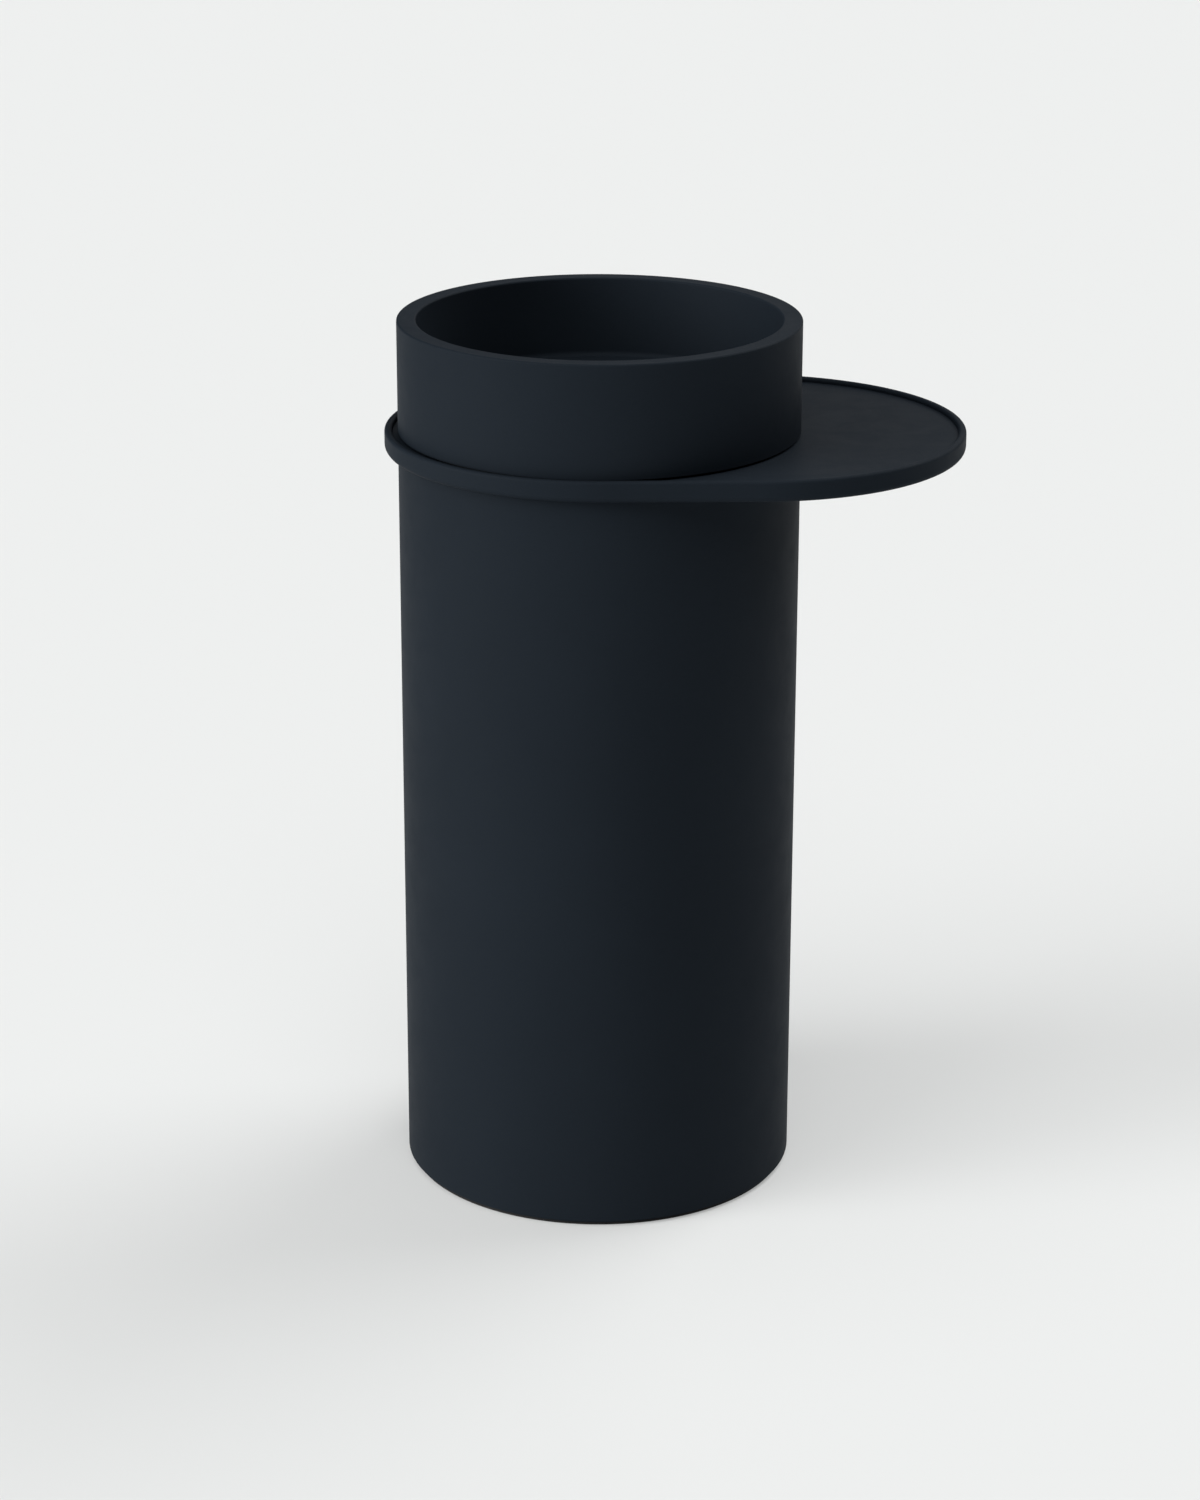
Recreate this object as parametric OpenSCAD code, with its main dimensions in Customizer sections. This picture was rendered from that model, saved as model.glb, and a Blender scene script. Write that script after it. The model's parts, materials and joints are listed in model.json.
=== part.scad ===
// Standing ashtray bin: a round steel body with a removable ash head, a lipped side tray
// clamped between the two, and a lift-out bucket inside. Millimetres, +Z up.
// Origin: the body's axis, on the surface that the bin stands on. The tray points along +X.

/* [Body] */
// Outside diameter of the body and of the head
body_d = 300; // [280:10:360]
// Thickness of the rolled steel walls
wall = 3; // [2:0.5:4]
// Height of the shadow gap under the body's lower edge
plinth_gap = 4; // [3:0.5:8]
// Thickness of the base plate
base_t = 8; // [6:1:12]

/* [Tray] */
// Height of the tray's floor above the ground
tray_z = 583.5; // [500:0.5:700]
// Distance between the centres of the tray's two round ends
tray_reach = 113; // [80:1:160]
// How far the tray stands out past the body all round
tray_overhang = 10; // [8:0.5:14]
// Height of the tray's rim bar
rim_h = 16; // [14:0.5:22]
// Thickness of the tray's rim bar
rim_t = 6; // [5.5:0.5:7]
// How deep the tray's floor lies below the top of the rim
tray_depth = 3.5; // [2.5:0.5:6]

/* [Head] */
// Height of the head's rim above the tray's floor
head_h = 85.5; // [80:0.5:120]
// Width of the head's flat rim, from the outside to the bowl
head_rim_w = 14.5; // [12:0.5:18]
// Depth of the bowl below the rim
bowl_depth = 61.5; // [50:0.5:64]
// Width of the bowl's floor between the wall and the stub grate
floor_w = 41.5; // [40:0.5:60]

/* [Bucket] */
// Gap between the bucket's wall and the opening that it lifts through
bucket_gap = 17; // [16:1:30]
// Free height between the bucket's rim and the tray's floor
headroom = 103.5; // [103.5:0.5:200]

/* [Anchors] */
// Diameter of the circle through the four anchor holes
anchor_pcd = 220; // [180:5:230]
// Radius of each anchor hole, for an M10 anchor
anchor_r = 5.5; // [4.5:0.5:6.5]

/* [Hidden] */
$fn = 96;
cut = 1; // how far a cutting shape runs past what it cuts
wire_fn = 32;

coat = [0.13, 0.15, 0.18];
steel = [0.62, 0.63, 0.64];
zinc = [0.70, 0.72, 0.73];
rubber = [0.06, 0.06, 0.06];

body_r = body_d / 2;
shell_in_r = body_r - wall;
total_h = tray_z + head_h;

// plinth
pad_t = 2;
pad_inset = 0.5;
base_top = pad_t + base_t;
drain_r = 5;
drain_ring_r = 60;
drain_count = 3;
anchor_count = 4;

// tray
plate_t = 4;
rim_top = tray_z + tray_depth;
rim_bottom = rim_top - rim_h;
rim_out_r = body_r + tray_overhang;
rim_in_r = rim_out_r - rim_t;
collar_w = 15;
collar_t = 8;
opening_r = shell_in_r - collar_w;
shell_top = tray_z - plate_t;
collar_bottom = shell_top - collar_t;
screw_ring_r = shell_in_r - collar_w / 2;
screw_r = 2.5;
screw_head_r = 5;
screw_count = 6;
screw_first = 30;
rib_t = 5;
rib_h = 8;
rib_y = body_r * 0.4;

// head
gasket_t = 2;
head_bottom = tray_z + gasket_t;
head_base_t = 3;
bowl_r = body_r - head_rim_w;
bowl_z = total_h - bowl_depth;
floor_bottom = bowl_z - wall;
spigot_r = opening_r - 0.5;
spigot_t = 2.5;
spigot_bottom = collar_bottom + 2;
grate_t = 3;
seat_r = bowl_r - floor_w;
seat_ledge = 10;
seat_z = bowl_z - grate_t;
grate_r = seat_r - 0.5;

// latch
latch_y = 23.5 - bowl_r;
bushing_r = 9;
bushing_flange_r = 12;
bushing_flange_t = 2;
core_r = 6;
core_gap = 0.05;
core_head_r = 7.9;
core_head_t = 2;
core_head_z = bowl_z - 4.5;
cam_t = 3;
cam_l = 27;
cam_w = 14;
cam_top = collar_bottom - 0.5;
cam_nut_h = 6.5;
core_bottom = cam_top - cam_t - cam_nut_h - 2;

// bucket
bucket_r = opening_r - bucket_gap;
bucket_wall = 1.5;
bucket_bottom = base_top + 14;
bucket_top = tray_z - headroom;
bead_r = 2;
ear_t = 4;
pivot_z = bucket_top - 15;
rivet_drop = 14;
rivet_r = 2;
rivet_y = 9;
bail_r = bucket_r + 9.5;
wire_r = 2.5;
wire_gap = 0.1;
grip_r = 5.5;
grip_angle = 40;
bail_rest = -12; // the bail hangs this far below level, near the bucket's wall

// Points on an arc round c, from angle a0 to a1
function arc(c, r, a0, a1, n = 8) =
    [for (i = [0:n]) c + r * [cos(a0 + (a1 - a0) * i / n), sin(a0 + (a1 - a0) * i / n)]];

// Distance from the centre at which a circle of radius r crosses the line at height y
function chord_x(r, y) = sqrt(pow(r, 2) - pow(y, 2));

// Sweeps a section, drawn as [distance from the centre line, height], round a slot-shaped
// path: a half circle at the body, two straight runs, and a half circle at the tray's end
module slot_sweep(reach) {
    rotate([0, 0, 90]) rotate_extrude(angle = 180) children();
    translate([reach, 0, 0]) rotate([0, 0, -90]) rotate_extrude(angle = 180) children();
    rotate([90, 0, 90]) linear_extrude(reach) children();
    mirror([0, 1, 0]) rotate([90, 0, 90]) linear_extrude(reach) children();
}

module ring(r_out, r_in, z0, z1) {
    rotate_extrude() translate([r_in, z0]) square([r_out - r_in, z1 - z0]);
}

module post(r, z0, z1) {
    translate([0, 0, z0]) cylinder(r = r, h = z1 - z0);
}

module at_circle(r, count, first = 0) {
    for (i = [0:count - 1]) rotate([0, 0, first + i * 360 / count]) translate([r, 0, 0]) children();
}

module hex_nut(r, bore, h) {
    difference() {
        cylinder(r = r, h = h, $fn = 6);
        post(bore, -cut, h + cut);
    }
}

// ---- body ----

module base_holes(z0, z1) {
    at_circle(anchor_pcd / 2, anchor_count, 45) post(anchor_r, z0 - cut, z1 + cut);
    at_circle(drain_ring_r, drain_count) post(drain_r, z0 - cut, z1 + cut);
}

module foot_pad() {
    color(rubber) difference() {
        post(shell_in_r - pad_inset, 0, pad_t);
        base_holes(0, pad_t);
    }
}

module base_plate() {
    color(coat) difference() {
        post(shell_in_r, pad_t, base_top);
        base_holes(pad_t, base_top);
    }
}

module body_shell() {
    edge = 0.8;
    color(coat) rotate_extrude() polygon(concat(
        [[shell_in_r, plinth_gap]],
        arc([body_r - edge, plinth_gap + edge], edge, -90, 0, 4),
        [[body_r, shell_top], [shell_in_r, shell_top]]
    ));
}

// Three welded lugs carry the bucket clear of the anchor heads and keep it centred
module guide_lugs() {
    lug_angle = 10;
    seat_w = 15;
    gap = 1;
    upstand_t = 4;
    upstand_h = 16;
    color(coat) for (a = [90, 210, 330]) rotate([0, 0, a - lug_angle / 2])
        rotate_extrude(angle = lug_angle) polygon([
            [bucket_r - seat_w, base_top],
            [bucket_r + gap + upstand_t, base_top],
            [bucket_r + gap + upstand_t, bucket_bottom + upstand_h],
            [bucket_r + gap, bucket_bottom + upstand_h],
            [bucket_r + gap, bucket_bottom],
            [bucket_r - seat_w, bucket_bottom]
        ]);
}

module collar_ring() {
    color(coat) difference() {
        ring(shell_in_r, opening_r, collar_bottom, shell_top);
        at_circle(screw_ring_r, screw_count, screw_first)
            post(screw_r, collar_bottom - cut, shell_top + cut);
    }
}

// ---- tray ----

module tray_plate() {
    color(coat) difference() {
        slot_sweep(tray_reach) translate([0, shell_top]) square([rim_in_r, plate_t]);
        post(opening_r, shell_top - cut, tray_z + cut);
        at_circle(screw_ring_r, screw_count, screw_first) countersunk_screw();
    }
}

module tray_rim() {
    top_edge = 2.5;
    bottom_edge = 4.5;
    inner_edge = 2.5;
    color(coat) slot_sweep(tray_reach) polygon(concat(
        arc([rim_out_r - bottom_edge, rim_bottom + bottom_edge], bottom_edge, -90, 0),
        arc([rim_out_r - top_edge, rim_top - top_edge], top_edge, 0, 90),
        arc([rim_in_r + inner_edge, rim_top - inner_edge], inner_edge, 90, 180),
        [[rim_in_r, rim_bottom]]
    ));
}

// Flat bars welded under the part of the tray that stands out from the body
module tray_ribs() {
    gap = 2;
    color(coat) for (y = [-rib_y, 0, rib_y]) {
        near = chord_x(body_r + gap, max(0, abs(y) - rib_t / 2));
        far = tray_reach + chord_x(rim_in_r, abs(y) + rib_t / 2) - gap / 2;
        translate([near, y - rib_t / 2, shell_top - rib_h]) cube([far - near, rib_t, rib_h]);
    }
}

// The outside of a countersunk screw from the tray's floor down into the collar
module countersunk_screw() {
    rotate_extrude() polygon([
        [0, collar_bottom], [screw_r, collar_bottom],
        [screw_r, tray_z - screw_head_r + screw_r], [screw_head_r, tray_z], [0, tray_z]
    ]);
}

module tray_screws() {
    socket_r = 1.7;
    socket_depth = 2;
    color(steel) at_circle(screw_ring_r, screw_count, screw_first) difference() {
        countersunk_screw();
        translate([0, 0, tray_z - socket_depth])
            cylinder(r = socket_r, h = socket_depth + cut, $fn = 6);
    }
}

// ---- head ----

// Outer wall, flat rim and bowl wall, folded and welded as one hollow ring
module head_shell() {
    edge = 1.5;
    color(coat) rotate_extrude() polygon(concat(
        [[shell_in_r, head_bottom], [body_r, head_bottom]],
        arc([body_r - edge, total_h - edge], edge, 0, 90, 6),
        arc([bowl_r + edge, total_h - edge], edge, 90, 180, 6),
        [[bowl_r, floor_bottom], [bowl_r + wall, floor_bottom],
         [bowl_r + wall, total_h - wall], [shell_in_r, total_h - wall]]
    ));
}

// The bowl's floor, with a cove at the wall and a sunk seat for the grate
module bowl_floor() {
    cove = 4;
    color(coat) difference() {
        rotate_extrude() polygon(concat(
            [[seat_r - seat_ledge, seat_z - wall], [seat_r + wall, seat_z - wall],
             [seat_r + wall, floor_bottom], [bowl_r, floor_bottom]],
            arc([bowl_r - cove, bowl_z + cove], cove, 0, -90, 6),
            [[seat_r, bowl_z], [seat_r, seat_z], [seat_r - seat_ledge, seat_z]]
        ));
        translate([0, latch_y, 0]) post(bushing_r, floor_bottom - cut, bowl_z + cut);
    }
}

module locating_ring() {
    color(coat) ring(spigot_r, spigot_r - spigot_t, spigot_bottom, floor_bottom);
}

module head_base_ring() {
    color(coat) ring(shell_in_r, spigot_r, head_bottom, head_bottom + head_base_t);
}

module head_gasket() {
    inset = 4;
    gasket_w = 8;
    color(rubber) ring(body_r - inset, body_r - inset - gasket_w, tray_z, head_bottom);
}

// ---- latch, turned with a triangular key through the bowl's floor ----

module latch_bushing() {
    chamfer = 0.6;
    bore = core_r + core_gap;
    recess_r = core_head_r + 0.1;
    flange_top = bowl_z + bushing_flange_t;
    color(steel) translate([0, latch_y, 0]) rotate_extrude() polygon([
        [bore, cam_top + 0.5], [bushing_r, cam_top + 0.5], [bushing_r, bowl_z],
        [bushing_flange_r, bowl_z], [bushing_flange_r, flange_top - chamfer],
        [bushing_flange_r - chamfer, flange_top], [recess_r, flange_top],
        [recess_r, core_head_z], [bore, core_head_z]
    ]);
}

module latch_nut() {
    nut_r = 13.8;
    nut_h = 8;
    color(steel) translate([0, latch_y, floor_bottom - nut_h]) hex_nut(nut_r, bushing_r, nut_h);
}

module latch_core() {
    key_r = 5;
    key_h = 4;
    color(steel) translate([0, latch_y, 0]) {
        post(core_r, core_bottom, core_head_z);
        post(core_head_r, core_head_z, core_head_z + core_head_t);
        translate([0, 0, core_head_z + core_head_t]) cylinder(r = key_r, h = key_h, $fn = 3);
    }
}

// The cam points along the tray when the latch is open, and under the collar when it is shut
module latch_cam() {
    hub_r = cam_w / 2 + 2;
    color(steel) translate([0, latch_y, cam_top - cam_t]) difference() {
        union() {
            cylinder(r = hub_r, h = cam_t);
            translate([0, -cam_w / 2, 0]) cube([cam_l, cam_w, cam_t]);
        }
        post(core_r, -cut, cam_t + cut);
    }
}

module latch_cam_nut() {
    nut_r = 10.4;
    color(steel) translate([0, latch_y, cam_top - cam_t - cam_nut_h])
        hex_nut(nut_r, core_r, cam_nut_h);
}

// ---- grate ----

// Rings of holes that let stubs and ash fall through
module stub_grate() {
    hole_r = 5.5;
    ring_count = 4;
    ring_step = (grate_r - 12) / (ring_count + 0.5);
    color(steel) difference() {
        post(grate_r, seat_z, bowl_z);
        post(screw_r, seat_z - cut, bowl_z + cut);
        for (k = [1:ring_count]) at_circle(8 + ring_step * k, 6 * k + 2, 7 * k)
            post(hole_r, seat_z - cut, bowl_z + cut);
    }
}

module grate_knob() {
    foot_r = 7;
    neck_r = 5;
    neck_top = 6;
    top_r = 8.5;
    bead = 2.5;
    crown_r = 22.5;
    crown_z = -9;
    color(steel) difference() {
        rotate_extrude() translate([0, bowl_z]) polygon(concat(
            [[0, 0], [foot_r, 0], [foot_r, 1], [neck_r, 2.5], [neck_r, neck_top]],
            arc([top_r, neck_top + 3.5], bead, -60, 60, 5),
            arc([0, crown_z], crown_r, 66, 90, 5)
        ));
        post(screw_r, bowl_z - cut, bowl_z + neck_top + 1);
    }
}

module grate_screw() {
    head_r = 4.5;
    head_t = 3;
    color(steel) {
        post(head_r, seat_z - head_t, seat_z);
        post(screw_r, seat_z, bowl_z + 6.5);
    }
}

// ---- bucket ----

module bucket() {
    corner = 6;
    floor_t = 2;
    color(zinc) rotate_extrude() polygon(concat(
        [[0, bucket_bottom]],
        arc([bucket_r - corner, bucket_bottom + corner], corner, -90, 0, 6),
        arc([bucket_r + bead_r / 2, bucket_top - bead_r], bead_r, -120, 175, 12),
        [[bucket_r - bucket_wall, bucket_top - bead_r - 1]],
        arc([bucket_r - corner, bucket_bottom + corner], corner - bucket_wall, 0, -80, 6),
        [[0, bucket_bottom + floor_t]]
    ));
}

// Calls its children at the bucket's two sides, where the bail turns
module both_sides() {
    for (a = [0, 180]) rotate([0, 0, a]) children();
}

// Lays its children's +Z outwards through the bucket's wall, y across and z above the pivot
module across_wall(start, y, z) {
    translate([start, y, pivot_z + z]) rotate([0, 90, 0]) children();
}

module bucket_ears() {
    half_angle = 7;
    ear_h = 29;
    ear_above = 7;
    hole_l = ear_t + 2 * cut;
    color(zinc) both_sides() difference() {
        rotate([0, 0, -half_angle]) rotate_extrude(angle = 2 * half_angle)
            translate([bucket_r, pivot_z + ear_above - ear_h]) square([ear_t, ear_h]);
        across_wall(bucket_r - cut, 0, 0) cylinder(r = wire_r + wire_gap, h = hole_l);
        for (y = [-rivet_y, rivet_y]) across_wall(bucket_r - cut, y, -rivet_drop)
            cylinder(r = rivet_r, h = hole_l);
    }
}

module ear_rivets() {
    head_r = 3.8;
    head_top_r = 2.4;
    head_t = 1.6;
    face = chord_x(bucket_r + ear_t, rivet_y - head_r);
    color(steel) both_sides() for (y = [-rivet_y, rivet_y]) {
        across_wall(bucket_r, y, -rivet_drop) cylinder(r = rivet_r, h = face - bucket_r);
        across_wall(face, y, -rivet_drop) cylinder(r1 = head_r, r2 = head_top_r, h = head_t);
    }
}

module bail() {
    knee_r = wire_r + 0.3;
    end_gap = 0.5;
    color(zinc) translate([0, 0, pivot_z]) rotate([bail_rest, 0, 0]) {
        rotate_extrude(angle = 180) translate([bail_r, 0]) circle(r = wire_r, $fn = wire_fn);
        both_sides() {
            translate([bail_r, 0, 0]) sphere(r = knee_r, $fn = wire_fn);
            translate([bucket_r + end_gap, 0, 0]) rotate([0, 90, 0])
                cylinder(r = wire_r, h = bail_r - bucket_r - end_gap);
        }
    }
}

module bail_grip() {
    color(rubber) translate([0, 0, pivot_z]) rotate([bail_rest, 0, 0]) rotate([0, 0, 90 - grip_angle / 2])
        rotate_extrude(angle = grip_angle) translate([bail_r, 0]) difference() {
            circle(r = grip_r, $fn = wire_fn);
            circle(r = wire_r + wire_gap, $fn = wire_fn);
        }
}

foot_pad();
base_plate();
body_shell();
guide_lugs();
collar_ring();
tray_plate();
tray_rim();
tray_ribs();
tray_screws();
head_shell();
bowl_floor();
locating_ring();
head_base_ring();
head_gasket();
latch_bushing();
latch_nut();
latch_core();
latch_cam();
latch_cam_nut();
stub_grate();
grate_knob();
grate_screw();
bucket();
bucket_ears();
ear_rivets();
bail();
bail_grip();
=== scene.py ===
"""Looks for the standing ashtray bin: materials, softened edges, weld beads, a drawn bucket and a
ribbed grip, with a floor, lights and a camera.
Everything is in metres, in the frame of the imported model: +Z up, the tray along +X."""

import json
import math

import bmesh
import bpy
from mathutils import Matrix, Vector

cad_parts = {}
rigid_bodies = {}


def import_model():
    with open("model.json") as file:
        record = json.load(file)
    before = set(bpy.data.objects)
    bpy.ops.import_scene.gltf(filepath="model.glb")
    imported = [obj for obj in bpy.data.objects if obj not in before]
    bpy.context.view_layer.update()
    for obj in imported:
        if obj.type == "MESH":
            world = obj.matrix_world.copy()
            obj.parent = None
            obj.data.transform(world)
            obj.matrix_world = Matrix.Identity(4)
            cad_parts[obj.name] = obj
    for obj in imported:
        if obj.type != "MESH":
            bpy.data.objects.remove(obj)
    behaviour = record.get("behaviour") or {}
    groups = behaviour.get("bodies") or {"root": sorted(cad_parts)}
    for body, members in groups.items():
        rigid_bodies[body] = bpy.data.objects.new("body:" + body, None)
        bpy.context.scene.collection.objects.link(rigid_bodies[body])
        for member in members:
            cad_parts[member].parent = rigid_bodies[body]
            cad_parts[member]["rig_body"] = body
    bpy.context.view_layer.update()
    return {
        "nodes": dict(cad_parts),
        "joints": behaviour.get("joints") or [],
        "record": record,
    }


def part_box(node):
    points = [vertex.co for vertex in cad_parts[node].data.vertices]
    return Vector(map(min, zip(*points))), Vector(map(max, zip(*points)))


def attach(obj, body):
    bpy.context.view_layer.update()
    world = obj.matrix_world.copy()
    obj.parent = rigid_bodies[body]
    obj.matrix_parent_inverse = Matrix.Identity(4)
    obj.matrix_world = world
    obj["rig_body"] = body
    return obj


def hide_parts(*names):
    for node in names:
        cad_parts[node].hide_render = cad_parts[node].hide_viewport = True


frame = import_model()
nodes = frame["nodes"]

MM = 0.001

# ---------------------------------------------------------------- camera

CAMERA_TURN = 0.0231       # radians from looking along +Y towards +X
CAMERA_TILT = 0.339        # radians below the horizon
CAMERA_ROLL = 0.0022       # radians
CAMERA_LENS = 90.55        # mm
SENSOR_WIDTH = 36          # mm
CAMERA_DISTANCE = 2.8926   # from the point that it aims at
CAMERA_AIM = Vector((0.0009, -0.0012, 0.331))


def make_camera():
    right = Vector((math.cos(CAMERA_TURN), -math.sin(CAMERA_TURN), 0))
    level = Vector((math.sin(CAMERA_TURN), math.cos(CAMERA_TURN), 0))
    forward = level * math.cos(CAMERA_TILT) - Vector((0, 0, math.sin(CAMERA_TILT)))
    up = right.cross(forward)
    roll = Matrix.Rotation(CAMERA_ROLL, 3, -forward)
    camera = bpy.data.objects.new("camera", bpy.data.cameras.new("camera"))
    bpy.context.scene.collection.objects.link(camera)
    turned = Matrix((roll @ right, roll @ up, -forward)).transposed().to_4x4()
    turned.translation = CAMERA_AIM - forward * CAMERA_DISTANCE
    camera.matrix_world = turned
    camera.data.lens = CAMERA_LENS
    camera.data.sensor_width = SENSOR_WIDTH
    bpy.context.scene.camera = camera


# ---------------------------------------------------------------- node graphs

class Graph:
    """A material's node tree, built by naming each node and what feeds it."""

    def __init__(self, name):
        self.material = bpy.data.materials.new(name)
        self.material.use_nodes = True
        self.tree = self.material.node_tree
        self.shader = self.tree.nodes["Principled BSDF"]
        self.place = self.add("ShaderNodeTexCoord").outputs["Object"]

    def add(self, kind, inputs=None, **settings):
        made = self.tree.nodes.new(kind)
        for key, value in settings.items():
            setattr(made, key, value)
        for key, value in (inputs or {}).items():
            self.feed(made, key, value)
        return made

    def feed(self, made, key, value):
        if isinstance(value, bpy.types.NodeSocket):
            self.tree.links.new(value, made.inputs[key])
        else:
            made.inputs[key].default_value = value

    def shade(self, **inputs):
        for key, value in inputs.items():
            self.feed(self.shader, key.replace("_", " "), value)

    def stretched(self, scale):
        mapping = self.add("ShaderNodeMapping", {"Vector": self.place, "Scale": scale})
        return mapping.outputs["Vector"]

    def noise(self, scale, detail=2.0, rough=0.5, where=None, bend=0.0):
        made = self.add("ShaderNodeTexNoise", {
            "Vector": where or self.place, "Scale": scale, "Detail": detail,
            "Roughness": rough, "Distortion": bend,
        })
        return made.outputs["Fac"]

    def ranged(self, value, low, high, start=0.0, end=1.0):
        made = self.add("ShaderNodeMapRange", {
            "Value": value, "From Min": start, "From Max": end, "To Min": low, "To Max": high,
        })
        return made.outputs["Result"]

    def maths(self, operation, a, b):
        return self.add("ShaderNodeMath", {0: a, 1: b}, operation=operation).outputs[0]

    def mixed(self, share, first, second):
        made = self.add("ShaderNodeMix", data_type="RGBA")
        self.feed(made, 0, share)
        self.feed(made, 6, first)
        self.feed(made, 7, second)
        return made.outputs[2]

    def bump(self, height, depth, strength=1.0, after=None):
        made = self.add("ShaderNodeBump", {"Height": height, "Distance": depth, "Strength": strength})
        if after:
            self.feed(made, "Normal", after)
        return made.outputs["Normal"]


def rgb(red, green, blue):
    return (red, green, blue, 1.0)


# ---------------------------------------------------------------- materials

COAT_DEEP = rgb(0.0101, 0.0138, 0.0187)
COAT_LIGHT = rgb(0.0121, 0.0167, 0.0226)


def powder_coat():
    """Fine-textured satin blue-graphite powder coat: grain, soft orange peel, slow cloudiness."""
    g = Graph("powder_coat")
    clouds = g.noise(7, detail=3)
    grain = g.noise(1400, detail=2, rough=0.6)
    peel = g.noise(420, detail=3, rough=0.55)
    tone = g.maths("ADD", g.maths("MULTIPLY", clouds, 0.5), g.maths("MULTIPLY", grain, 0.5))
    rubbed = g.noise(38, detail=5, rough=0.65, bend=0.4)
    g.shade(
        Base_Color=g.mixed(g.ranged(tone, 0, 1, 0.3, 0.7), COAT_DEEP, COAT_LIGHT),
        Roughness=g.ranged(rubbed, 0.54, 0.62, 0.3, 0.7),
        Normal=g.bump(peel, 0.05 * MM, 0.5, after=g.bump(grain, 0.03 * MM, 0.5)),
        Specular_IOR_Level=0.03,
    )
    return g.material


def stainless():
    """Brushed stainless steel: long faint scratches along X, and a cloudy polish."""
    g = Graph("brushed_stainless")
    brushed = g.noise(1, detail=4, rough=0.7, where=g.stretched((60, 2600, 900)))
    clouds = g.noise(45, detail=3)
    g.shade(
        Base_Color=g.mixed(clouds, rgb(0.44, 0.45, 0.46), rgb(0.6, 0.6, 0.59)),
        Metallic=1.0,
        Roughness=g.ranged(brushed, 0.26, 0.44),
        Normal=g.bump(brushed, 0.02 * MM, 0.4),
    )
    return g.material


def galvanised():
    """Hot-dip zinc: spangle crystals of differing grey and gloss, dulled by a grey bloom."""
    g = Graph("galvanised_zinc")
    bent = g.noise(60, detail=3)
    spangle = {"Vector": g.place, "Scale": 95.0, "Randomness": 1.0}
    crystals = g.add("ShaderNodeTexVoronoi", spangle)
    edges = g.add("ShaderNodeTexVoronoi", spangle, feature="DISTANCE_TO_EDGE")
    shade = g.add("ShaderNodeSeparateColor", {"Color": crystals.outputs["Color"]}).outputs[0]
    bloom = g.noise(22, detail=5, rough=0.7)
    zinc = g.mixed(shade, rgb(0.36, 0.39, 0.42), rgb(0.58, 0.6, 0.62))
    g.shade(
        Base_Color=g.mixed(g.ranged(bloom, 0, 0.6, 0.4, 0.75), zinc, rgb(0.5, 0.52, 0.54)),
        Metallic=0.9,
        Roughness=g.maths("ADD", g.ranged(shade, 0.3, 0.5), g.ranged(bent, 0, 0.12)),
        Normal=g.bump(g.ranged(edges.outputs["Distance"], 0, 1, 0, 0.06), 0.03 * MM, 0.5),
    )
    return g.material


def rubber():
    """Matte black rubber with a fine moulded grain and a dusty bloom."""
    g = Graph("black_rubber")
    grain = g.noise(900, detail=3, rough=0.7)
    dust = g.noise(55, detail=5, rough=0.6)
    g.shade(
        Base_Color=g.mixed(
            g.ranged(dust, 0, 1, 0.35, 0.75), rgb(0.008, 0.008, 0.0085), rgb(0.02, 0.02, 0.019),
        ),
        Roughness=g.ranged(grain, 0.72, 0.92),
        Normal=g.bump(grain, 0.08 * MM, 0.6),
        Specular_IOR_Level=0.3,
    )
    return g.material


def moulded_grip():
    """Black moulded plastic with a spark-eroded texture."""
    g = Graph("moulded_plastic")
    pits = g.add("ShaderNodeTexVoronoi", {"Vector": g.place, "Scale": 1300.0}).outputs["Distance"]
    wear = g.noise(80, detail=4)
    g.shade(
        Base_Color=g.mixed(wear, rgb(0.014, 0.014, 0.016), rgb(0.026, 0.026, 0.028)),
        Roughness=g.ranged(wear, 0.42, 0.6),
        Normal=g.bump(pits, 0.06 * MM, 0.5),
        Specular_IOR_Level=0.4,
    )
    return g.material


def studio_floor():
    """Pale paper that glows a little by itself, which keeps the shadows on it weak."""
    g = Graph("studio_floor")
    paper = g.noise(900, detail=3)
    g.shade(
        Base_Color=g.mixed(paper, rgb(0.460, 0.466, 0.463), rgb(0.470, 0.476, 0.473)),
        Roughness=1.0,
        Specular_IOR_Level=0.0,
        Emission_Color=rgb(0.3, 0.304, 0.302),
        Emission_Strength=1.0,
    )
    return g.material


def paint_nodes():
    """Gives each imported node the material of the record's slot that it names."""
    slots = {
        "coat": powder_coat(), "stainless": stainless(), "galvanised": galvanised(),
        "rubber": rubber(), "grip": moulded_grip(),
    }
    for part in frame["record"]["subparts"]:
        surface = nodes[part["node"]].data.materials
        surface.clear()
        surface.append(slots[part["material_slot"]])
    return slots


# ---------------------------------------------------------------- mesh building

def add_piece(name, mesh, material, body, replaced=()):
    """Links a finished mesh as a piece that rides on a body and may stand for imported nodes."""
    piece = bpy.data.objects.new(name, mesh)
    bpy.context.scene.collection.objects.link(piece)
    mesh.materials.clear()
    mesh.materials.append(material)
    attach(piece, body)
    if replaced:
        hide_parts(*replaced)
    return piece


def finish_mesh(bm, name, sharp=35):
    bmesh.ops.recalc_face_normals(bm, faces=bm.faces)
    mesh = bpy.data.meshes.new(name)
    bm.to_mesh(mesh)
    bm.free()
    mesh.shade_smooth()
    mesh.set_sharp_from_angle(angle=math.radians(sharp))
    return mesh


def sweep_rings(bm, rings, closed=False):
    """Skins a list of point rings, all of one length, and caps the two ends of an open run."""
    made = [[bm.verts.new(p) for p in ring] for ring in rings]
    following = made[1:] + made[:1] if closed else made[1:]
    for ring, after in zip(made, following):
        for k in range(len(ring)):
            j = (k + 1) % len(ring)
            bm.faces.new((ring[k], ring[j], after[j], after[k]))
    if not closed:
        bm.faces.new(made[0][::-1])
        bm.faces.new(made[-1])


TURN_STEPS = 144


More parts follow.
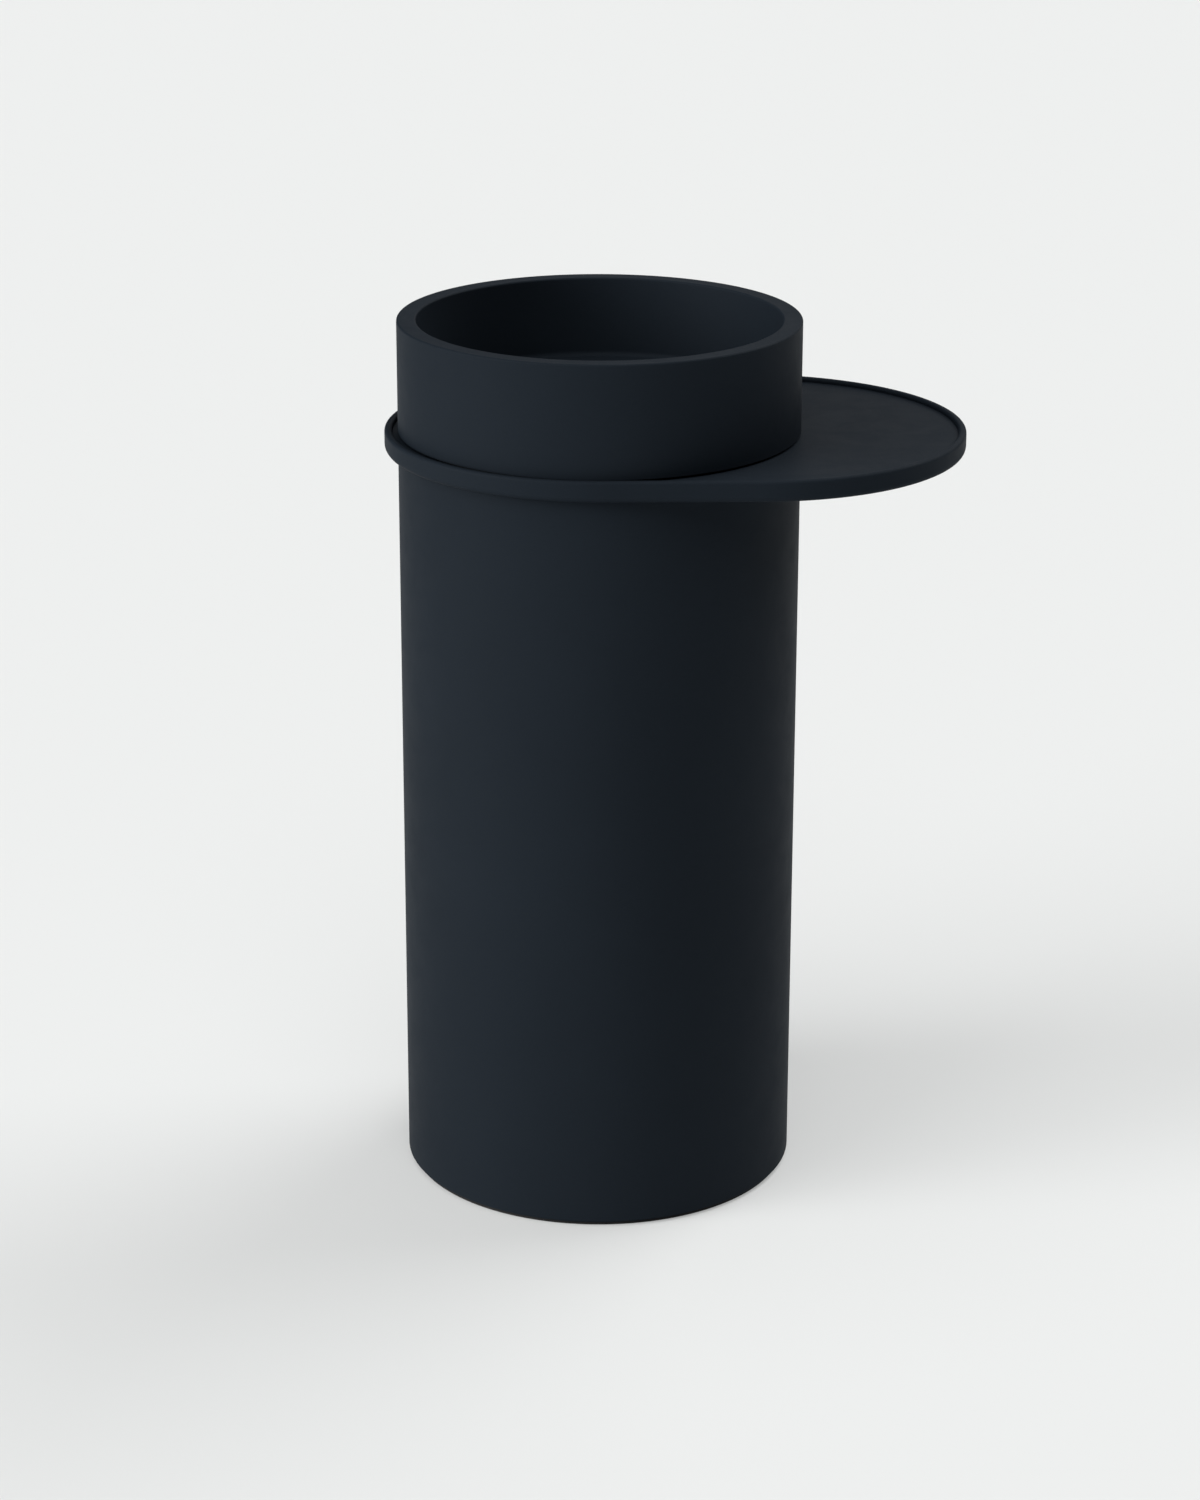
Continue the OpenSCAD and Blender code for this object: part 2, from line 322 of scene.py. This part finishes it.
def turned(bm, outline):
    """Turns a closed (radius, height) outline round the Z axis."""
    rings = []
    for k in range(TURN_STEPS):
        a = 2 * math.pi * k / TURN_STEPS
        rings.append([Vector((r * math.cos(a), r * math.sin(a), z)) for r, z in outline])
    sweep_rings(bm, rings, closed=True)


def bend(centre, radius, start, end, steps):
    """Points of an arc in an outline, from one angle to another in degrees."""
    angles = [math.radians(start + (end - start) * k / steps) for k in range(steps + 1)]
    return [(centre[0] + radius * math.cos(a), centre[1] + radius * math.sin(a)) for a in angles]


def node_radius(node):
    """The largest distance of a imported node's points from the Z axis."""
    return max(math.hypot(v.co.x, v.co.y) for v in nodes[node].data.vertices)


# ---------------------------------------------------------------- softened edges

MERGE = 0.002 * MM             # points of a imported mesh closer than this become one
FLAT = math.radians(0.5)       # faces that meet at less are one face
HARD = math.radians(32)        # edges that turn more are broken

# How far each of these nodes' hard edges is broken, in mm
EDGED = {
    "base_plate": 0.5, "foot_pad": 0.3, "collar_ring": 0.5, "guide_lugs": 0.5, "tray_ribs": 0.6,
    "locating_ring": 0.4, "stub_grate": 0.4, "grate_screw": 0.3, "bucket_ears": 0.4,
    "tray_screws": 0.15, "latch_nut": 0.5, "latch_core": 0.4, "latch_cam": 0.5, "latch_cam_nut": 0.5,
}


def softened(node, width):
    """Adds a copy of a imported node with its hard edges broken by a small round, which stands for it."""
    bm = bmesh.new()
    bm.from_mesh(nodes[node].data)
    bmesh.ops.remove_doubles(bm, verts=bm.verts, dist=MERGE)
    bmesh.ops.dissolve_limit(bm, angle_limit=FLAT, verts=bm.verts, edges=bm.edges)
    hard = [e for e in bm.edges if len(e.link_faces) == 2 and e.calc_face_angle() > HARD]
    bmesh.ops.bevel(
        bm, geom=hard, offset=width, segments=2, profile=0.5, affect="EDGES", clamp_overlap=True,
    )
    mesh = finish_mesh(bm, node + "_edged", sharp=50)
    if "custom_normal" in mesh.attributes:
        mesh.attributes.remove(mesh.attributes["custom_normal"])
    piece = add_piece(
        node + "_edged", mesh, nodes[node].data.materials[0], nodes[node]["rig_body"],
        [node],
    )
    weighted = piece.modifiers.new("weighted_normals", "WEIGHTED_NORMAL")
    weighted.keep_sharp = True


# ---------------------------------------------------------------- welds

UP = Vector((0, 0, 1))
ALONG = Vector((1, 0, 0))

# One bead
WELD = 3.0 * MM                # leg of the fillet
RIPPLE = 1.7 * MM              # length of one ripple
RIPPLE_RISE = 0.09             # how far it stands out, as a share of the leg
STATIONS = 4                   # sections per ripple
END_SIZE = 0.55                # size of a bead's two ends, as a share of the leg
END_LENGTH = 1.5               # how long an end takes to reach full size, in legs
FACE_STEPS = 5                 # steps across the bead's face
FACE_SHAPE = 1.3               # 1 is a quarter round face, 2 a flat one

# Where the short beads sit
COLLAR_STITCHES = 12
COLLAR_STITCH = 28 * MM
COLLAR_FIRST = math.radians(15)
END_STITCH = 20 * MM           # under the round end of the tray
END_STITCHES_EACH_WAY = 4
END_SPACING = 20               # degrees
END_OFFSET = 5                 # degrees, clear of the middle bar's end
BAR_T = 5 * MM                 # the flat bars under the tray
BAR_STITCH = 18 * MM
BAR_STITCHES = 3
BAR_NEAR = 3 * MM              # from the body to the first stitch
BAR_FAR = 8 * MM               # from the last stitch to the edge of the tray's plate
HEAD_STITCHES = 10
HEAD_STITCH = 30 * MM
RING_WALL = 2.5 * MM           # thickness of the head's locating ring


def weld(bm, corner_at, length):
    """Lays a rippled fillet along a corner. corner_at(s) gives the point there and the two
    directions that lie along the joined faces."""
    count = round(length / RIPPLE * STATIONS)
    rings = []
    for k in range(count + 1):
        s = length * k / count
        corner, side, rise = corner_at(s)
        fullness = min(1.0, min(s, length - s) / (END_LENGTH * WELD))
        ripple = 1 + RIPPLE_RISE * math.cos(2 * math.pi * s / RIPPLE)
        size = WELD * (END_SIZE + (1 - END_SIZE) * fullness) * ripple
        ring = [corner]
        for q in range(FACE_STEPS + 1):
            turn = math.radians(90 * q / FACE_STEPS)
            across = size * math.cos(turn) ** FACE_SHAPE
            up = size * math.sin(turn) ** FACE_SHAPE
            ring.append(corner + side * across + rise * up)
        rings.append(ring)
    sweep_rings(bm, rings)


def round_corner(radius, height, rise, centre=Vector((0, 0, 0)), start=0.0):
    """A corner that runs round the inside of a circle, for weld()."""
    def corner_at(s):
        a = start + s / radius
        out = Vector((math.cos(a), math.sin(a), 0))
        return centre + out * radius + UP * height, -out, rise
    return corner_at


def straight_corner(start, along, side, rise):
    """A corner that runs straight, for weld()."""
    def corner_at(s):
        return start + along * s, side, rise
    return corner_at


def stitch_round(bm, radius, height, rise, count, length, first=0.0):
    """Lays short beads at equal steps round the Z axis."""
    for k in range(count):
        middle = first + 2 * math.pi * k / count
        start = middle - length / radius / 2
        weld(bm, round_corner(radius, height, rise, start=start), length)


def add_beads(name, bm, coat, body):
    """Adds finished beads as one piece, in the coat of the parts that they join."""
    add_piece(name, finish_mesh(bm, name), coat, body)


def weld_base(coat):
    """One bead all round, between the base plate and the inside of the body."""
    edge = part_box("base_plate")[1]
    bm = bmesh.new()
    weld(bm, round_corner(edge.x, edge.z, UP), 2 * math.pi * edge.x)
    add_beads("weld_base", bm, coat, "stand")


def weld_collar(coat):
    """Short beads under the collar ring, on the inside of the body."""
    shell_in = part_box("base_plate")[1].x
    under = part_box("collar_ring")[0].z
    bm = bmesh.new()
    stitch_round(bm, shell_in, under, -UP, COLLAR_STITCHES, COLLAR_STITCH, first=COLLAR_FIRST)
    add_beads("welds_collar", bm, coat, "stand")


def weld_tray(coat):
    """Short beads under the tray: inside its rim bar at the round end, and along its flat bars."""
    plate_low, plate_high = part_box("tray_plate")
    under = plate_low.z
    end_r = plate_high.y
    end_centre = Vector((plate_high.x - end_r, 0, 0))
    bm = bmesh.new()
    for k in range(-END_STITCHES_EACH_WAY, END_STITCHES_EACH_WAY + 1):
        middle = math.radians(END_SPACING * k + END_OFFSET)
        start = middle - END_STITCH / end_r / 2
        weld(bm, round_corner(end_r, under, -UP, centre=end_centre, start=start), END_STITCH)

    shell_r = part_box("body_shell")[1].x
    bar_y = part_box("tray_ribs")[1].y - BAR_T / 2
    for y in (-bar_y, 0, bar_y):
        near = math.sqrt((shell_r + BAR_NEAR) ** 2 - y * y)
        far = end_centre.x + math.sqrt(end_r ** 2 - y * y) - BAR_FAR
        for side in (-1, 1):
            face = Vector((0, side, 0))
            for k in range(BAR_STITCHES):
                at = near + (far - near - BAR_STITCH) * k / (BAR_STITCHES - 1)
                start = Vector((at, y + side * BAR_T / 2, under))
                weld(bm, straight_corner(start, ALONG, face, -UP), BAR_STITCH)
    add_beads("welds_tray", bm, coat, "stand")


def weld_head(coat):
    """Short beads inside the head's locating ring, under the bowl's floor."""
    ring_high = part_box("locating_ring")[1]
    bm = bmesh.new()
    stitch_round(bm, ring_high.x - RING_WALL, ring_high.z, -UP, HEAD_STITCHES, HEAD_STITCH)
    add_beads("welds_head", bm, coat, "head")


# ---------------------------------------------------------------- bucket

LUG_REACH = 5 * MM             # from the bucket's wall to the outside of the guide lugs
BUCKET_SHEET = 1.2 * MM
WALL_IN = 0.4 * MM             # how far the wall lies inside the chime
RIM_BEND = 1.5                 # the rolled rim stands out by this many of its radii

SWAGE_H = 1.3 * MM
SWAGE_W = 9 * MM
SWAGE_STEPS = 8
SWAGE_PLACES = (0.36, 0.7)     # shares of the bucket's height

CHIME_H = 5 * MM               # the raised ring that the bucket stands on
CHIME_IN = 5 * MM              # from the wall to the inner edge of its underside
CHIME_LIFT = 0.6 * MM          # height of that inner edge
CHIME_LOW_R = 1.2 * MM         # rounds of its two outer edges
CHIME_TOP_R = 0.6 * MM
CHIME_NECK = 1.5 * MM          # height over which the wall runs back from it

FLOOR_TOP = 1.3 * MM           # below the chime's top
FLOOR_UNDER = 2.7 * MM         # below the chime's top
FLOOR_EDGE = 7 * MM            # from the wall to the edge of the floor's underside
CORNER_R = 4.4 * MM            # between the wall and the floor, inside
AXIS_R = 0.01 * MM             # the turned outline stops this far from the axis

SEAM_TURN = math.radians(140)  # where the folded seam runs up the wall
SEAM_W = 7 * MM
SEAM_TOP_W = 0.8               # width of its outer face, as a share
SEAM_T = 0.9 * MM
SEAM_ROOT = 1.0 * MM           # how far inside the wall's radius it is rooted
SEAM_LOW = 2 * MM              # from the chime's top
SEAM_HIGH = 2.5 * MM           # from the middle of the rolled rim


def swage(radius, height):
    """A raised round ridge in an upright wall, as outline points from low to high."""
    points = []
    for k in range(SWAGE_STEPS + 1):
        t = k / SWAGE_STEPS
        points.append((radius + SWAGE_H * math.sin(math.pi * t) ** 2, height + SWAGE_W * (t - 0.5)))
    return points


def bucket_outline(wall, low, rim, bead):
    """The bucket's section: up its outside, round the rolled rim, down its inside and in to the axis.
    rim is the height of the middle of the rolled rim, and bead its radius."""
    chime_top = low + CHIME_H
    outer_r = wall - WALL_IN
    ridges = [low + (rim + bead - low) * share for share in SWAGE_PLACES]

    outer = [(wall - CHIME_IN, low + CHIME_LIFT)]
    outer += bend((wall - CHIME_LOW_R, low + CHIME_LOW_R), CHIME_LOW_R, -90, 0, 4)
    outer += bend((wall - CHIME_TOP_R, chime_top), CHIME_TOP_R, 0, 60, 2)
    outer += [(outer_r, chime_top + CHIME_NECK)]
    for height in ridges:
        outer += swage(outer_r, height)

    rolled = bend((wall + bead / 2, rim), bead, -120, 180, 14)

    inner = []
    for height in reversed(ridges):
        inner += [(r - BUCKET_SHEET, z) for r, z in reversed(swage(outer_r, height))]
    floor = chime_top - FLOOR_TOP
    corner = (outer_r - BUCKET_SHEET - CORNER_R, floor + CORNER_R)
    inner += bend(corner, CORNER_R, 0, -90, 5)
    under = chime_top - FLOOR_UNDER
    inner += [(AXIS_R, floor), (AXIS_R, under), (wall - FLOOR_EDGE, under)]
    return outer + rolled + inner


def seam_section(wall, height):
    """The folded side seam's section at one height."""
    section = []
    for share, lift in ((-1, -SEAM_ROOT), (-SEAM_TOP_W, SEAM_T), (SEAM_TOP_W, SEAM_T), (1, -SEAM_ROOT)):
        a = SEAM_TURN + share * SEAM_W / 2 / wall
        section.append(Vector(((wall + lift) * math.cos(a), (wall + lift) * math.sin(a), height)))
    return section


def make_bucket(zinc):
    """The drawn sheet bucket: rolled rim, two swaged ridges, a bottom chime and a folded side seam."""
    low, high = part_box("bucket")
    wall = node_radius("guide_lugs") - LUG_REACH
    bead = (high.x - wall) / RIM_BEND
    rim = high.z - bead
    bm = bmesh.new()
    turned(bm, bucket_outline(wall, low.z, rim, bead))
    seam_ends = (low.z + CHIME_H + SEAM_LOW, rim - SEAM_HIGH)
    sweep_rings(bm, [seam_section(wall, height) for height in seam_ends])
    mesh = finish_mesh(bm, "bucket_drawn", sharp=40)
    add_piece("bucket_drawn", mesh, zinc, "bucket", ["bucket"])


# ---------------------------------------------------------------- bail grip

BAIL_DROP = math.radians(-12)  # the bail hangs this far below level at rest
KNEE_R = 2.8 * MM              # the balls at the bail's widest points
GRIP_R = 5.5 * MM
GRIP_BORE = 2.6 * MM
GRIP_SPAN = math.radians(40)
GRIP_STEPS = 132
GRIP_SIDES = 24
BORE_STEPS = 16
GRIP_RIBS = 11
RIB_H = 0.5 * MM
PLAIN_STEPS = 10               # the smooth stretch at each end
PLAIN_IN = 0.2 * MM            # how far it lies below the ribs' crests
ROUND_STEPS = 4                # the rounded part of that stretch
ROUND_IN = 0.9 * MM            # how far its very end is drawn in


def grip_radius(step):
    """The grip's outside radius at a step along it."""
    if PLAIN_STEPS < step <= GRIP_STEPS - PLAIN_STEPS:
        wave = 0.5 + 0.5 * math.cos(2 * math.pi * GRIP_RIBS * step / GRIP_STEPS)
        return GRIP_R - RIB_H * wave
    from_end = min(step, GRIP_STEPS - step)
    return GRIP_R - PLAIN_IN - ROUND_IN * max(0.0, 1 - from_end / ROUND_STEPS) ** 2


def make_grip(plastic):
    """The bail's hand grip: a tube bent along the wire, with finger ribs and rounded ends."""
    pivot = Vector(next(j for j in frame["joints"] if j["name"] == "bail_swing")["pos_m"])
    level = Matrix.Rotation(BAIL_DROP, 3, "X")
    wire_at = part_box("bail")[1].x - KNEE_R
    start = math.pi / 2 - GRIP_SPAN / 2

    def ring_at(share, radius):
        turn = start + GRIP_SPAN * share
        out = Vector((math.cos(turn), math.sin(turn), 0))
        ring = []
        for k in range(GRIP_SIDES):
            a = 2 * math.pi * k / GRIP_SIDES
            point = out * (wire_at + radius * math.cos(a)) + UP * (radius * math.sin(a))
            ring.append(pivot + level @ point)
        return ring

    outside = [ring_at(k / GRIP_STEPS, grip_radius(k)) for k in range(GRIP_STEPS + 1)]
    inside = [ring_at(1 - k / BORE_STEPS, GRIP_BORE) for k in range(BORE_STEPS + 1)]
    bm = bmesh.new()
    sweep_rings(bm, outside + inside, closed=True)
    mesh = finish_mesh(bm, "bail_grip_ribbed")
    add_piece("bail_grip_ribbed", mesh, plastic, "bail", ["bail_grip"])


# ---------------------------------------------------------------- stage

# Name: azimuth from +X towards +Y, elevation, apparent width (all degrees), strength
LIGHTS = {
    "key_left": (195, 8, 30, 2.7),
    "left_high": (210, 35, 40, 1.3),
    "right_behind": (35, 40, 45, 1.8),
    "behind": (80, 20, 30, 0.15),
    "front_high": (270, 55, 40, 0.75),
    "overhead": (0, 90, 50, 0.8),
}
BACKDROP = rgb(0.852, 0.867, 0.859)
FLOOR_SIZE = 80            # metres


def make_light(name, azimuth, elevation, width, strength):
    light = bpy.data.lights.new(name, "SUN")
    light.energy = strength
    light.angle = math.radians(width)
    holder = bpy.data.objects.new(name, light)
    bpy.context.scene.collection.objects.link(holder)
    a, e = math.radians(azimuth), math.radians(elevation)
    towards = Vector((math.cos(a) * math.cos(e), math.sin(a) * math.cos(e), math.sin(e)))
    holder.rotation_mode = "QUATERNION"
    holder.rotation_quaternion = towards.to_track_quat("Z", "Y")


def make_stage():
    bpy.ops.mesh.primitive_plane_add(size=FLOOR_SIZE)
    floor = bpy.context.object
    floor.name = "studio_floor"
    floor.data.materials.append(studio_floor())
    for name, values in LIGHTS.items():
        make_light(name, *values)
    world = bpy.data.worlds.new("studio")
    world.use_nodes = True
    bpy.context.scene.world = world
    tree = world.node_tree
    seen = tree.nodes.new("ShaderNodeLightPath").outputs["Is Camera Ray"]
    backdrop = tree.nodes["Background"]
    backdrop.inputs["Color"].default_value = BACKDROP
    tree.links.new(seen, backdrop.inputs["Strength"])


make_camera()
materials = paint_nodes()
weld_base(materials["coat"])
weld_collar(materials["coat"])
weld_tray(materials["coat"])
weld_head(materials["coat"])
make_bucket(materials["galvanised"])
make_grip(materials["grip"])
for name, width in EDGED.items():
    softened(name, width * MM)
make_stage()
bpy.context.scene.view_settings.view_transform = "Standard"
